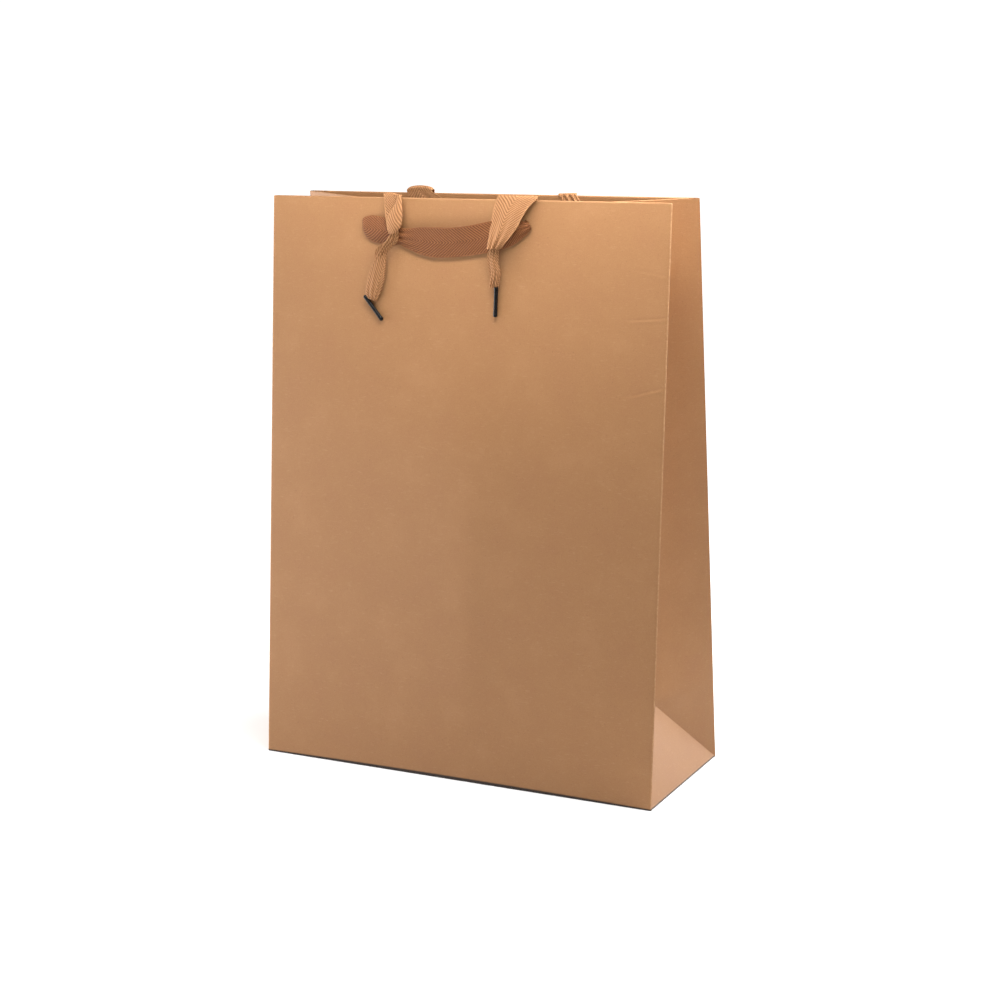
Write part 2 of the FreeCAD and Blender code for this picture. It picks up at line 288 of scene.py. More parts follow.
def kraft_paper(name, painted_light=False):
    """Smooth brown kraft: soft clouds, fine grain, short fibres both ways, and a few dark flecks."""
    n = new_material(name)
    place = n.coords()
    clouds = n.noise(place, KRAFT_CLOUDS, 5, 0.6)
    base = n.ramp(clouds, [(0.30, KRAFT_DARK), (0.52, KRAFT), (0.78, KRAFT_LIGHT)])
    base = n.mix(CLOUD_CALM, base, (*KRAFT, 1))
    grain = n.noise(place, KRAFT_GRAIN, 2, 0.6)
    base = n.tint(base, grain, 0.45, 0.70, 0.50, KRAFT_LIGHT)
    base = n.tint(base, grain, 0.50, 0.30, 0.45, KRAFT_DARK)
    upright = n.noise(n.coords((1, 1, 0.2)), KRAFT_FIBRES, 2, 0.5)
    level = n.noise(n.coords((0.2, 0.3, 1)), KRAFT_FIBRES, 2, 0.5)
    base = n.tint(base, upright, 0.58, 0.72, 0.35, KRAFT_DARK)
    base = n.tint(base, level, 0.60, 0.74, 0.30, KRAFT_FIBRE)
    flecks = n.noise(place, KRAFT_FLECKS, 1, 0.4)
    base = n.tint(base, flecks, 0.71, 0.78, 0.30, KRAFT_FLECK)
    # The walls and gusset feet also get painted highlights at the side creases and a painted contact shadow
    # along the foot
    if painted_light:
        base = crease_highlight_and_foot_shadow(n, place, base)
    n.link(base, n.shader.inputs["Base Color"])
    n.link(n.range(grain, 0.3, 0.75, 0.50, 0.66), n.shader.inputs["Roughness"])
    n.shader.inputs["Specular IOR Level"].default_value = 0.25
    height = n.math("ADD", grain, n.math("MULTIPLY", upright, 0.6))
    n.bump(height, 0.25, 0.06 * MM)
    return n.owner


def crease_highlight_and_foot_shadow(n, place, base):
    """Painted highlights along the side creases, broken into patches, and a painted contact shadow along the
    foot, highest in the middle.
    """
    x, _, z = n.split(place)
    # Painted highlight: the paper turns paler right at the side creases, in noisy patches
    aside = n.math("ABSOLUTE", x)
    crease_highlight = n.range(aside, HALF_W - CREASE_HIGHLIGHT_WIDTH, HALF_W - CREASE_HIGHLIGHT_WIDTH / 4, 0.0, CREASE_HIGHLIGHT_SHARE)
    patches = n.range(n.noise(place, KRAFT_WEAR, 3, 0.6), 0.35, 0.65, 0.25, 1.0)
    base = n.mix(n.math("MULTIPLY", crease_highlight, patches), base, (*KRAFT_CREASE_HIGHLIGHT, 1))
    # Painted contact shadow: the lowest few millimetres darken, most in the middle of the wall
    drop = n.math("MULTIPLY", n.math("MULTIPLY", x, x), FOOT_SHADOW_DROP / HALF_W**2)
    height = n.math("ADD", z, drop)
    return n.tint(base, height, FOOT_SHADOW_HEIGHT, FOOT_SHADOW_HEIGHT * 0.7, 1.0, FOOT_SHADOW_COLOUR)


def card_board():
    """Pale grey-brown pulp board with a loose fibre grain."""
    n = new_material("card")
    clouds = n.noise(n.coords(), 60, 4, 0.6)
    base = n.ramp(clouds, [(0.3, (0.30, 0.25, 0.19)), (0.7, (0.42, 0.36, 0.28))])
    fibre = n.noise(n.coords((0.2, 1, 1)), 700, 3, 0.6)
    base = n.tint(base, fibre, 0.55, 0.72, 0.5, (0.22, 0.17, 0.12))
    n.link(base, n.shader.inputs["Base Color"])
    n.link(n.range(fibre, 0.3, 0.7, 0.72, 0.9), n.shader.inputs["Roughness"])
    n.bump(fibre, 0.3, 0.1 * MM)
    return n.owner


# Ribbon colours in a groove, between, and on a ridge: painted shade in the grooves and a painted highlight
# on the ridges
RIBBON_FACE = ((0.110, 0.0390, 0.0140), (0.270, 0.1220, 0.0470), (0.400, 0.1980, 0.0830))
# A darker, redder copy of the tape colours: painted shade for the run between the holes
RIBBON_SHADED = ((0.044, 0.0105, 0.0026), (0.135, 0.0420, 0.0110), (0.300, 0.1120, 0.0350))
CHEVRON = 2.3 * MM          # ridge spacing along the tape
CHEVRON_SLANT = 1.25        # how far along the tape a ridge runs for each unit across
CHEVRON_DRIFT = 0.6 * MM    # how far the ridges wander along the tape
RIDGE_SHARE = 0.72          # share of the ridges in the weave's height
THREAD = 0.62 * MM          # spacing of the single threads across the ridges
THREAD_SLANT = 0.7
RIBBON_EDGE = 0.9 * MM      # width of the plain woven edge
EDGE_THREAD = 0.8 * MM      # thread spacing in the plain edge


def ribbon_tape(name, low, middle, high):
    """Herringbone cotton tape: ridges that meet in the middle, single threads across them, plain edges."""
    n = new_material(name)
    flat = n.add("ShaderNodeTexCoord")
    across, along, _ = n.split(flat.outputs["UV"])
    aside = n.math("ABSOLUTE", across)
    place = n.coords()
    wander = n.noise(place, 160, 2, 0.5)
    drift = n.math("MULTIPLY", n.math("SUBTRACT", wander, 0.5), CHEVRON_DRIFT)
    slant = n.math("MULTIPLY", aside, CHEVRON_SLANT)
    ridge_place = n.math("ADD", n.math("ADD", along, slant), drift)
    thread_place = n.math("SUBTRACT", along, n.math("MULTIPLY", aside, THREAD_SLANT))
    ridge = n.math("MULTIPLY", n.wave(ridge_place, CHEVRON, 0, 1), RIDGE_SHARE)
    thread = n.math("MULTIPLY", n.wave(thread_place, THREAD, 0, 1), 1 - RIDGE_SHARE)
    edge = n.range(aside, RIBBON_W / 2 - RIBBON_EDGE, RIBBON_W / 2 - RIBBON_EDGE * 0.7, 0, 1)
    weave = n.mix(edge, n.math("ADD", ridge, thread), n.wave(along, EDGE_THREAD, 0.35, 0.9))
    height = n.add("ShaderNodeSeparateColor")
    n.link(weave, height.inputs[0])
    ridges = height.outputs[0]
    # Colour follows the weave's height: painted shade in the grooves, painted highlight on the ridges
    base = n.ramp(ridges, [(0.10, low), (0.50, middle), (0.92, high)])
    fluff = n.noise(place, 2600, 2, 0.7)
    base = n.tint(base, fluff, 0.45, 0.75, 0.45, high)
    base = n.tint(base, fluff, 0.52, 0.30, 0.45, middle)
    dirt = n.noise(place, 90, 3, 0.6)
    base = n.tint(base, dirt, 0.35, 0.70, 0.25, middle)
    n.link(base, n.shader.inputs["Base Color"])
    n.link(n.range(ridges, 0, 1, 0.78, 0.52), n.shader.inputs["Roughness"])
    n.shader.inputs["Sheen Weight"].default_value = 0.06
    n.shader.inputs["Sheen Roughness"].default_value = 0.4
    n.shader.inputs["Sheen Tint"].default_value = (1.0, 0.72, 0.45, 1)
    n.shader.inputs["Specular IOR Level"].default_value = 0.2
    n.bump(ridges, 0.8, 0.3 * MM)
    return n.owner


def black_toggle():
    """Glossy black moulded plastic with light scuffs."""
    n = new_material("toggle_bar")
    scuff = n.noise(n.coords(), 900, 4, 0.6, 0.4)
    base = n.ramp(scuff, [(0.45, (0.004, 0.0037, 0.0037)), (0.8, (0.012, 0.011, 0.011))])
    n.link(base, n.shader.inputs["Base Color"])
    n.link(n.range(scuff, 0.35, 0.75, 0.20, 0.38), n.shader.inputs["Roughness"])
    n.shader.inputs["Specular IOR Level"].default_value = 0.15
    n.bump(scuff, 0.15, 0.05 * MM)
    return n.owner


def give(obj, material):
    obj.data.materials.clear()
    obj.data.materials.append(material)


# Walls

PULL = 0.45 * MM            # radius of the bend at a wall's side creases
LIP = 1.2 * MM              # radius of the bend at a wall's foot

BELLY = 5.5 * MM            # how far a wall bows out, most a little above its middle
BELLY_RISE = 235 * MM       # height over which the bow grows from the foot
BELLY_FALL = 130 * MM       # height over which it dies away below the turn-in
BELLY_SHAPE = 1.35          # 1 would be a tent from side to side, and 2 a round arch
RIDGE = 1.1 * MM            # height of the soft upright fold near the middle
RIDGE_REACH = 38 * MM       # how far it spreads to each side
RIDGE_TOP = 300 * MM        # where it ends
RIDGE_FADE = 120 * MM       # and over how much height it dies away
WAVES = 0.30 * MM           # height of the shallow waves

# Faint creases by the front wall's right edge: (below the rim, rise over 20 mm, depth)
CREASE_MARKS = (
    (75.5 * MM, 2 * MM, 0.20 * MM),
    (44 * MM, -3 * MM, 0.12 * MM),
    (124 * MM, 5.7 * MM, 0.22 * MM),
)
CREASE_START = 118 * MM     # how far across the wall they start
CREASE_LEVEL = 130 * MM     # how far across they cross their own height
CREASE_BANDS = ((112 * MM, 132 * MM), (40 * MM, 82 * MM))   # below the rim, where the mesh is fine for them

RIM_FOLD = PAPER_T + CARD_T     # depth of the roll at the rim, around the card
SIDE_FOLD = 0.55 * MM       # the same beside the card, near the side creases
SIDE_TAPER = 7 * MM         # width over which the roll narrows from one to the other
HEM_EASE_START = 130 * MM   # beyond this far across, the turn-in is drawn in from the side creases
HEM_EASE = 0.8              # to this share of the width


def wall_relief(x, u, side):
    """How far the paper stands out from its flat plane: a belly, a soft upright fold, waves and creases."""
    inside = 1 - np.minimum(1, np.abs(x) / HALF_W) ** BELLY_SHAPE
    rising = smooth(u / BELLY_RISE)
    falling = smooth((PANEL_H - HEM_DEPTH - 2 * MM - u) / BELLY_FALL)
    upright = smooth(u / (90 * MM)) * falling
    ridge_x = 4 * MM + 10 * MM * np.sin(u / (120 * MM))
    ridge_end = smooth((RIDGE_TOP - u) / RIDGE_FADE)
    ridge = RIDGE * np.exp(-np.abs(x - ridge_x) / RIDGE_REACH) * upright * ridge_end
    waves = WAVES * np.sin(x / (41 * MM) + u / (63 * MM) + 0.6) * np.sin(u / (52 * MM) + 1.1)
    relief = BELLY * inside * rising * falling + ridge + waves * inside * upright
    if side == "front":
        relief = relief + crease_relief(x, u)
    return relief


def crease_relief(x, u):
    """The front wall's creases: each is a fine groove with a low ridge just under it."""
    total = np.zeros_like(x)
    for below, rise, depth in CREASE_MARKS:
        line = PANEL_H - below + rise * (x - CREASE_LEVEL) / (20 * MM)
        reach = smooth((x - CREASE_START) / (14 * MM)) * smooth((HALF_W - x) / (2 * MM))
        groove = bump_at(u, line, 0.7 * MM)
        ridge = bump_at(u, line - 1.6 * MM, 1.2 * MM)
        total += depth * (0.8 * ridge - groove) * reach
    return total


def wall_columns():
    """Places across a wall and round its side bends, and how far in from its plane each of them lies."""
    turns = np.linspace(0, math.pi / 2, 6)[1:]
    edge = HALF_W - PULL
    fine = spaced(edge - 24 * MM, edge, 2 * MM)
    level = joined(-fine, spaced(-edge, edge, 5 * MM), fine)
    over = edge + PULL * np.sin(turns)
    bend = PULL * (1 - np.cos(turns))
    x = np.concatenate([-over[::-1], level, over])
    inward = np.concatenate([bend[::-1], np.zeros_like(level), bend])
    return x, inward


def wall_rows(side, x, inward):
    """Rows of (points, length along the sheet): foot bend, panel, rolled rim and turn-in."""
    span = np.abs(x)
    taper = smooth((span - (HALF_W - HEM_SIDE_GAP)) / SIDE_TAPER)
    fold = RIM_FOLD + (SIDE_FOLD - RIM_FOLD) * taper
    eased = HEM_EASE_START + (span - HEM_EASE_START) * HEM_EASE
    narrow = np.where(span > HEM_EASE_START, eased, span) * np.sign(x)
    rows = []

    def add(across, depth, up, length):
        rows.append((np.stack(np.broadcast_arrays(across, depth, up), 1), length))

    for angle in np.linspace(0, math.pi / 2, 5)[::-1]:
        up = PAPER_T / 2 + LIP * (1 - math.sin(angle))
        add(x, np.maximum(LIP * (1 - math.cos(angle)), inward), up, up)
    bands = CREASE_BANDS if side == "front" else ()
    fine = [spaced(PANEL_H - low, PANEL_H - high, 0.7 * MM) for high, low in bands]
    bottom = PAPER_T / 2 + LIP + 0.5 * MM
    top = PANEL_H - PAPER_T / 2 - RIM_FOLD / 2 - 0.5 * MM
    for u in joined(spaced(bottom, top, 5 * MM), *fine):
        add(x, inward - wall_relief(x, u, side), u, u)
    radius = fold / 2
    centre = PANEL_H - PAPER_T / 2 - radius
    for angle in np.linspace(0, math.pi, 10):
        ease = smooth(angle / math.pi * 2)
        depth = inward * (1 - ease) + radius * (1 - math.cos(angle))
        up = centre + radius * math.sin(angle)
        add(x + (narrow - x) * ease, depth, up, PANEL_H + angle * RIM_FOLD / 2)
    for drop in spaced(2 * MM, HEM_DEPTH, 4 * MM):
        add(narrow, fold, PANEL_H - drop, PANEL_H + RIM_FOLD + drop)
    return rows


def wall_sheet(side):
    """One folded sheet from foot to turn-in, with its side edges bent inwards and its ribbon holes cut."""
    x, inward = wall_columns()
    rows = wall_rows(side, x, inward)
    local = np.array([points for points, length in rows])
    flat = np.array([np.stack([x, np.full_like(x, length)], 1) for points, length in rows])
    sheet = sheet_mesh("paper_" + side + "_wall", on_wall(local, side), flat, PAPER_T)
    punch(sheet, side)
    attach(sheet, side + "_wall")
    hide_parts(side + "_panel", side + "_hem")
    return sheet


def punch(sheet, side):
    """Cut the two ribbon holes through the wall and its turn-in."""
    for x, d in (LEFT_HOLE, RIGHT_HOLE):
        rings = []
        for depth in (-4 * MM, 5 * MM):
            ring = [(x + HOLE_R * math.cos(t), depth, PANEL_H - d + HOLE_R * math.sin(t)) for t in CIRCLE]
            rings.append(on_wall(ring, side))
        count = len(CIRCLE)
        faces = [(i, (i + 1) % count, (i + 1) % count + count, i + count) for i in range(count)]
        faces += [tuple(range(count))[::-1], tuple(range(count, 2 * count))]
        cutter = new_object("punch", np.concatenate(rings), faces)
        hole = sheet.modifiers.new("hole", "BOOLEAN")
        hole.object = cutter
        hole.operation = "DIFFERENCE"
        hole.solver = "EXACT"
        settle(sheet)
        bpy.data.objects.remove(cutter)


def settle(obj):
    """Apply an object's modifiers to its mesh."""
    depsgraph = bpy.context.evaluated_depsgraph_get()
    mesh = bpy.data.meshes.new_from_object(obj.evaluated_get(depsgraph))
    obj.modifiers.clear()
    obj.data = mesh
    obj.data.set_sharp_from_angle(angle=SHARP_ANGLE)


# Gussets

CREST = 0.6 * MM            # radius of the bend along a gusset's centre crease
CREASE_ROOM = 0.75 * MM     # what the creases take off the width of a half in the CAD model
GUSSET_FOLD = 0.45 * MM     # middle plane of a gusset's turn-in, from the gusset's own
GUSSET_HEM_START = 7 * MM   # a gusset's turn-in starts this far from the wall crease
GUSSET_HEM_END = 1.5 * MM   # and ends this far from the centre crease
GUSSET_HOLLOW = 1.0 * MM    # how far a half hollows between its creases
GUSSET_BUCKLE = 0.35 * MM   # how much that varies with height
FOOT_GAP = 0.15 * MM        # the foot triangle stops this far short of the slanted creases
FOOT_SINK = 0.5 * MM        # how far its middle lies in from its plane


def rest_fold(s):
    """Angle between a gusset half and straight across the bag, at height s up its crease."""
    s = max(s, KNEE)
    gap = HALF_D - s * math.sin(LEAN) - CREASE_ROOM * math.cos(LEAN)
    return math.acos(gap / (REACH * math.cos(LEAN)))


def flat_width(s):
    """Width of the flat part of a half, from the wall crease to the bend along the centre crease."""
    fold = rest_fold(s)
    width = ((HALF_D - s * math.sin(LEAN)) / math.cos(LEAN) - CREASE_IN) / math.cos(fold)
    tangent = CREST * math.tan(fold / 2)
    return width - tangent / math.cos(fold) - tangent


def gusset_point(s, a, offset=0.0):
    """On the right front half: s up the wall crease, a across from it, offset towards the inside."""
    fold = rest_fold(s)
    corner = np.array([HALF_W, -HALF_D, 0]) + UP * s + ACROSS * CREASE_IN
    along = ACROSS * math.cos(fold) - SIDEWAYS * math.sin(fold)
    start = flat_width(s)
    if a <= start or s < KNEE:
        normal = SIDEWAYS * math.cos(fold) + ACROSS * math.sin(fold)
        return corner + along * a - normal * offset
    aim = fold - min((a - start) / CREST, fold)
    sweep = ACROSS * (math.sin(fold) - math.sin(aim)) - SIDEWAYS * (math.cos(aim) - math.cos(fold))
    turned = SIDEWAYS * math.cos(aim) + ACROSS * math.sin(aim)
    return corner + along * start + sweep * CREST - turned * offset


def gusset_width(s):
    """Length across a half along its surface, as far as the centre crease or the slanted foot crease."""
    return s if s < KNEE else flat_width(s) + CREST * rest_fold(s)


def gusset_relief(s, f):
    """A gusset half hollows a little between its creases, and buckles slightly above the foot."""
    body = math.sin(math.pi * min(max(f, 0), 1)) ** 2
    high = float(smooth((s - 70 * MM) / (80 * MM)) * smooth((PANEL_H - s - 10 * MM) / (100 * MM)))
    return body * high * (GUSSET_HOLLOW + GUSSET_BUCKLE * math.sin(s / (37 * MM)))


def mirrored(grid, hand, side):
    """A grid made for the right front corner, moved to another one and still right side out."""
    flip = np.array([1 if hand == "right" else -1, 1 if side == "front" else -1, 1])
    grid = grid * flip
    return grid[:, ::-1] if flip[0] * flip[1] < 0 else grid


def gusset_half(hand, side):
    """A twisting half gusset, with the turn-in folded down behind its top edge."""
    shares = np.concatenate([np.linspace(0, 0.965, 20), np.linspace(0.97, 1.0, 8)])
    rows = []
    flats = []
    for s in joined(spaced(0.5 * MM, KNEE, 3 * MM), spaced(KNEE, PANEL_H - GUSSET_FOLD, 6 * MM)):
        width = gusset_width(s)
        rows.append([gusset_point(s, f * width, gusset_relief(s, f)) for f in shares])
        flats.append([(f * width, s) for f in shares])
    name = "paper_" + hand + "_gusset_" + side
    sheet = sheet_mesh(name, mirrored(np.array(rows), hand, side), np.array(flats), PAPER_T)
    merge(sheet, gusset_hem(hand, side))
    body = hand + "_gusset_" + side
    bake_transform(sheet)
    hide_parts(body)
    return sheet


def gusset_hem(hand, side):
    """The turn-in of a gusset half: over the top edge and down its inner face."""
    radius = GUSSET_FOLD / 2
    steps = [(PANEL_H - GUSSET_FOLD, 0.0)]
    for angle in np.linspace(0, math.pi, 8)[1:]:
        height = PANEL_H - PAPER_T / 2 - radius + radius * math.sin(angle)
        steps.append((height, radius * (1 - math.cos(angle))))
    steps += [(PANEL_H - drop, GUSSET_FOLD) for drop in spaced(3 * MM, HEM_DEPTH, 6 * MM)]
    shares = np.linspace(0, 1, 20)
    rows = []
    flats = []
    for count, (s, offset) in enumerate(steps):
        width = gusset_width(min(s, PANEL_H))
        places = GUSSET_HEM_START + shares * (width - GUSSET_HEM_END - GUSSET_HEM_START)
        rows.append([gusset_point(s, a, offset + gusset_relief(s, a / width)) for a in places])
        flats.append([(a, PANEL_H + 3 * MM * count) for a in places])
    return sheet_mesh("turn_in", mirrored(np.array(rows), hand, side), np.array(flats), PAPER_T)


def merge(obj, other):
    """Join another object into the first one, keeping their faces apart."""
    whole = bmesh.new()
    whole.from_mesh(obj.data)
    whole.from_mesh(other.data)
    whole.to_mesh(obj.data)
    whole.free()
    bpy.data.objects.remove(other)
    obj.data.set_sharp_from_angle(angle=SHARP_ANGLE)


def gusset_foot(hand):
    """The triangle at the foot of a gusset, leaning inwards from the floor."""
    tilt = rest_fold(KNEE)
    shares = np.linspace(-1, 1, 25)
    rows = []
    flats = []
    for rise in joined(spaced(0.2 * MM, KNEE - 1.2 * MM, 3 * MM), np.array([KNEE - 0.5 * MM])):
        half = KNEE - rise - FOOT_GAP
        sink = FOOT_SINK * math.sin(math.pi * rise / KNEE)
        x = HALF_W - rise * math.sin(tilt)
        z = rise * math.cos(tilt) + PAPER_T / 2
        rows.append([(x - sink * (1 - f * f), f * half, z) for f in shares])
        flats.append([(f * half, rise) for f in shares])
    grid = mirrored(np.array(rows), hand, "front")
    foot = sheet_mesh("paper_" + hand + "_foot", grid, np.array(flats), PAPER_T)
    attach(foot, hand + "_gusset_foot")
    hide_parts(hand + "_gusset_foot")
    return foot


# Ribbons: nets of points across and along the tape, as (across, below the rim, depth) in millimetres

TURN_UNDER = 1.1            # how far behind the front layer a turned-under edge lies, in millimetres
BAND_POINTS = 17            # points across a net without its turned-under edge
TAPE_ALONG = 10             # mesh steps from one net row to the next
TAPE_ACROSS = 3             # mesh steps from one net point to the next across


def curve_through(points, places):
    """Catmull-Rom values of a list of points at fractional places along it."""
    points = np.asarray(points, float)
    last = len(points) - 1
    padded = np.concatenate([[2 * points[0] - points[1]], points, [2 * points[-1] - points[-2]]])
    k = np.clip(np.floor(places).astype(int), 0, last - 1)
    t = (places - k).reshape((-1,) + (1,) * (points.ndim - 1))
    p0, p1, p2, p3 = padded[k], padded[k + 1], padded[k + 2], padded[k + 3]
    return 0.5 * (2 * p1 + (p2 - p0) * t + (2 * p0 - 5 * p1 + 4 * p2 - p3) * t ** 2
                  + (3 * p1 - p0 - 3 * p2 + p3) * t ** 3)


def band(rows):
    """A net from (one edge, other edge, swell, pleats, back) rows, in millimetres.

    Swell pushes the middle out, pleats wrinkle it, and back is the width turned under at the other edge.
    """
    net = []
    shares = np.linspace(0, 1, BAND_POINTS)
    arch = np.sin(math.pi * shares)
    pleats = np.sin(3 * 2 * math.pi * shares) * arch ** 0.5
    for first, second, swell, pleat, *back in rows:
        first, second = np.array(first, float), np.array(second, float)
        line = first + (second - first) * shares[:, None]
        line[:, 2] -= swell * arch
        line[:, 2] -= pleat * pleats
        if back:
            inward = (first - second) / np.linalg.norm(first - second)
            behind = np.array([0, 0, TURN_UNDER])
            turned = [second - inward * 0.3 + behind * 0.45]
            turned += [second + inward * back[0] * share + behind for share in np.linspace(0.06, 1, 6)]
            line = np.concatenate([line, turned])
        net.append(line)
    return np.array(net)


def tape_mesh(name, net, side):
    """A ribbon piece through a net of points, with its weave laid out flat, and its length."""
    net = np.asarray(net, float)
    rows = np.linspace(0, len(net) - 1, (len(net) - 1) * TAPE_ALONG + 1)
    cols = np.linspace(0, net.shape[1] - 1, (net.shape[1] - 1) * TAPE_ACROSS + 1)
    fine = curve_through(net, rows)
    fine = curve_through(fine.transpose(1, 0, 2), cols).transpose(1, 0, 2) * MM
    local = np.stack([fine[..., 0], fine[..., 2], PANEL_H - fine[..., 1]], 2)
    step = np.linalg.norm(np.diff(local, axis=0), axis=2).mean(axis=1)
    length = np.concatenate([[0], np.cumsum(step)])
    chord = np.linalg.norm(np.diff(local, axis=1), axis=2)
    travel = np.concatenate([np.zeros((len(local), 1)), np.cumsum(chord, axis=1)], 1)
    share = travel / travel[:, -1:] - 0.5
    flat = np.stack([share * RIBBON_W, np.repeat(length[:, None], local.shape[1], 1)], 2)
    tape = sheet_mesh(name, on_wall(local, side), flat, RIBBON_T)
    return tape, float(length[-1])


RUN = [
    ((-66.0, 14.5, 1.0), (-66.0, 19.5, 1.0), 0.0, 0.5),
    ((-69.5, 14.0, -0.9), (-69.0, 21.5, -0.9), 0.3, 0.7),
    ((-76.6, 16.0, -1.0), (-75.6, 23.5, -0.8), 0.9, 0.2),
    ((-75.6, 14.0, -1.2), (-72.5, 28.3, -0.9), 2.0, 0.05),
    ((-69.0, 12.6, -1.4), (-65.0, 31.2, -0.9), 2.3, 0.0),
    ((-60.5, 13.6, -1.6), (-57.0, 31.6, -0.9), 2.2, 0.05),
    ((-53.0, 16.5, -1.9), (-51.0, 32.4, -1.0), 1.6, 0.4),
    ((-46.8, 20.3, -2.6), (-47.2, 31.8, -1.3), 1.0, 0.7),
    ((-42.2, 20.8, -3.9), (-44.6, 33.0, -1.5), 0.6, 0.35),
    ((-36.5, 20.4, -5.0), (-39.0, 35.2, -1.6), 0.4, 0.15),
    ((-29.5, 19.6, -5.9), (-32.0, 37.6, -1.6), 0.3, 0.05),
    ((-20.0, 19.4, -6.4), (-22.5, 39.6, -1.6), 0.2, 0.0),
    ((-8.0, 19.4, -6.5), (-9.5, 39.4, -1.6), 0.1, 0.0),
    ((5.5, 18.0, -6.0), (4.5, 38.0, -1.6), 0.2, 0.0),
    ((17.0, 15.6, -4.6), (18.0, 35.8, -1.6), 0.4, 0.05),
    ((28.0, 13.4, -2.8), (31.0, 32.8, -1.8), 0.9, 0.1),
    ((38.0, 12.6, -2.0), (41.0, 28.4, -1.6), 1.6, 0.15),
    ((46.4, 14.6, -1.5), (49.4, 21.4, -1.4), 1.3, 0.3),
    ((49.4, 15.0, -1.2), (51.0, 17.6, -1.1), 0.5, 0.3),
    ((44.5, 12.0, 1.0), (44.5, 17.0, 1.0), 0.0, 0.5),
]

LEFT_RISER = [
    ((-68.6, 17.0, 3.1), (-63.4, 17.0, 3.1), 0.0, 1.45),
    ((-68.6, 11.0, 3.0), (-60.5, 12.0, 3.0), 0.0, 1.4),
    ((-65.0, 4.0, 2.8), (-53.0, 5.5, 2.8), 0.0, 1.1),
    ((-61.5, -0.4, 2.0), (-48.6, -0.2, 2.0), 0.0, 0.3),
    ((-61.2, -1.7, 1.0), (-48.2, -1.6, 1.0), 0.0, 0.2),
]

RIGHT_RISER = [
    ((41.9, 14.5, 3.1), (47.1, 14.5, 3.1), 0.0, 1.45),
    ((38.0, 9.5, 3.0), (48.5, 10.5, 3.0), 0.0, 1.3),
    ((31.0, 3.5, 2.6), (52.0, 5.0, 2.6), 0.0, 0.3),
    ((27.0, -0.4, 1.9), (54.0, -0.2, 1.9), 0.0, 0.1),
    ((26.4, -1.6, 1.0), (53.9, -1.5, 1.0), 0.0, 0.1),
]

LEFT_UPPER = [
    [(-61.2, -1.7, 1.0), (-58.0, -1.8, 1.0), (-54.5, -1.8, 1.0), (-51.0, -1.8, 1.0), (-48.2, -1.6, 1.0),
     (-47.9, -1.4, 0.9), (-48.2, -1.4, 0.7), (-49.0, -1.4, 0.6)],
    [(-61.2, -2.8, -0.4), (-58.0, -2.9, -0.5), (-54.5, -2.6, -0.5), (-51.0, -2.0, -0.5), (-48.2, -1.4, -0.6),
     (-47.4, -1.2, -1.0), (-47.9, -1.2, -1.4), (-48.6, -1.2, -1.5)],
    [(-60.4, -0.6, -1.5), (-57.3, -0.6, -1.7), (-53.8, -0.4, -1.6), (-50.3, -0.2, -1.4), (-47.6, 0.0, -1.4),
     (-46.6, 0.2, -2.3), (-47.4, 0.3, -3.2), (-48.6, 0.4, -3.0)],
    [(-59.4, 5.3, -2.4), (-56.4, 5.3, -2.5), (-53.0, 5.3, -2.2), (-49.4, 5.3, -1.8), (-46.6, 5.3, -2.2),
     (-45.2, 5.3, -3.7), (-47.2, 5.5, -5.0), (-50.4, 5.0, -4.0)],
    [(-58.4, 10.5, -3.2), (-55.6, 10.5, -3.2), (-52.0, 10.5, -2.9), (-48.4, 10.5, -2.6), (-45.8, 10.5, -3.0),
     (-44.4, 10.5, -4.7), (-47.8, 10.8, -6.6), (-53.2, 10.0, -5.2)],
    [(-57.4, 15.5, -3.9), (-54.6, 15.5, -3.9), (-51.4, 15.5, -3.7), (-48.2, 15.5, -3.6), (-45.8, 15.5, -4.0),
     (-44.4, 15.5, -5.6), (-48.2, 15.8, -7.4), (-55.4, 15.0, -5.6)],
    [(-55.8, 20.0, -4.7), (-53.6, 20.0, -4.7), (-51.0, 20.0, -4.7), (-48.4, 20.0, -4.7), (-46.2, 20.0, -4.9),
     (-45.2, 20.0, -6.0), (-48.6, 20.4, -7.6), (-55.0, 20.0, -6.2)],
    [(-53.6, 23.6, -5.4), (-52.2, 23.6, -5.6), (-51.0, 23.6, -5.6), (-49.8, 23.6, -5.6), (-48.6, 23.6, -5.6),
     (-48.2, 23.8, -6.2), (-50.0, 24.6, -6.9), (-53.2, 24.6, -6.8)],
]

LEFT_LOWER = [
    ((-53.6, 22.6, -5.2), (-47.3, 22.6, -4.9), 0.3, 0.8, 6.0),
    ((-52.9, 25.3, -5.6), (-47.8, 26.0, -3.9), 0.4, 0.7, 6.0),
    ((-54.9, 28.5, -5.9), (-49.3, 30.0, -3.2), 0.2, 0.6, 6.0),
    ((-57.8, 32.0, -5.7), (-53.6, 33.6, -3.0), 0.0, 0.5, 7.0),
    ((-61.2, 36.6, -5.2), (-57.4, 38.0, -2.9), 0.1, 0.5, 8.0),
    ((-65.6, 43.2, -4.6), (-57.9, 43.0, -3.0), 0.6, 0.2, 8.0),
    ((-69.1, 50.2, -4.0), (-58.3, 50.0, -3.0), 0.8, 0.1, 7.0),
    ((-71.7, 58.8, -3.5), (-59.2, 57.0, -3.0), 0.8, 0.15, 6.0),
    ((-72.6, 65.5, -3.1), (-61.6, 64.4, -2.9), 0.8, 0.4, 6.0),
    ((-70.4, 69.2, -2.9), (-65.1, 70.8, -2.9), 0.6, 0.6, 4.5),
]

